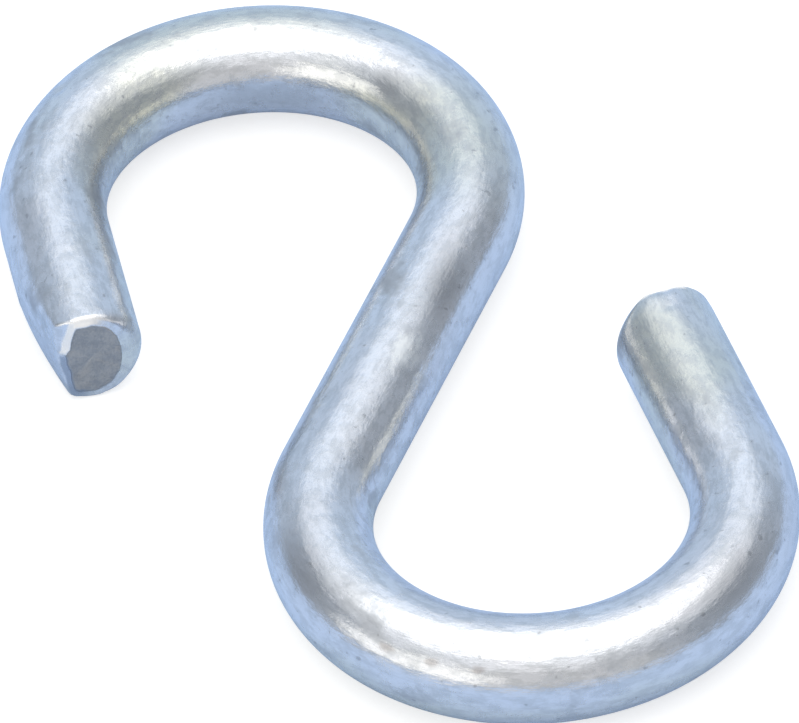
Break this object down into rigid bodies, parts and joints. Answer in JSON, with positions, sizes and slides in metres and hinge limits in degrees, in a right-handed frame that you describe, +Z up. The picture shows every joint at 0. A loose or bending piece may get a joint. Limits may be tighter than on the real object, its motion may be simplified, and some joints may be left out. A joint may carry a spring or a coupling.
{
  "type": "s hook",
  "caption": "Steel wire S hook with two open eyes facing opposite sides, for linking chain, rope eyes and rings.",
  "frame": {"origin": "middle of the footprint, on the surface that the hook lies on", "axes": "+X through both eye centres, towards the eye with the longer leg; +Z up, square to the plane of the bends"},
  "size_m": [0.063, 0.0342, 0.0063],
  "materials": {
    "zinc_plate": "bright zinc plate on drawn steel wire, slightly mottled, with bare grey steel on the sheared ends"
  },
  "bodies": {
    "root": {"s_hook": "zinc_plate"}
  },
  "joints": []
}
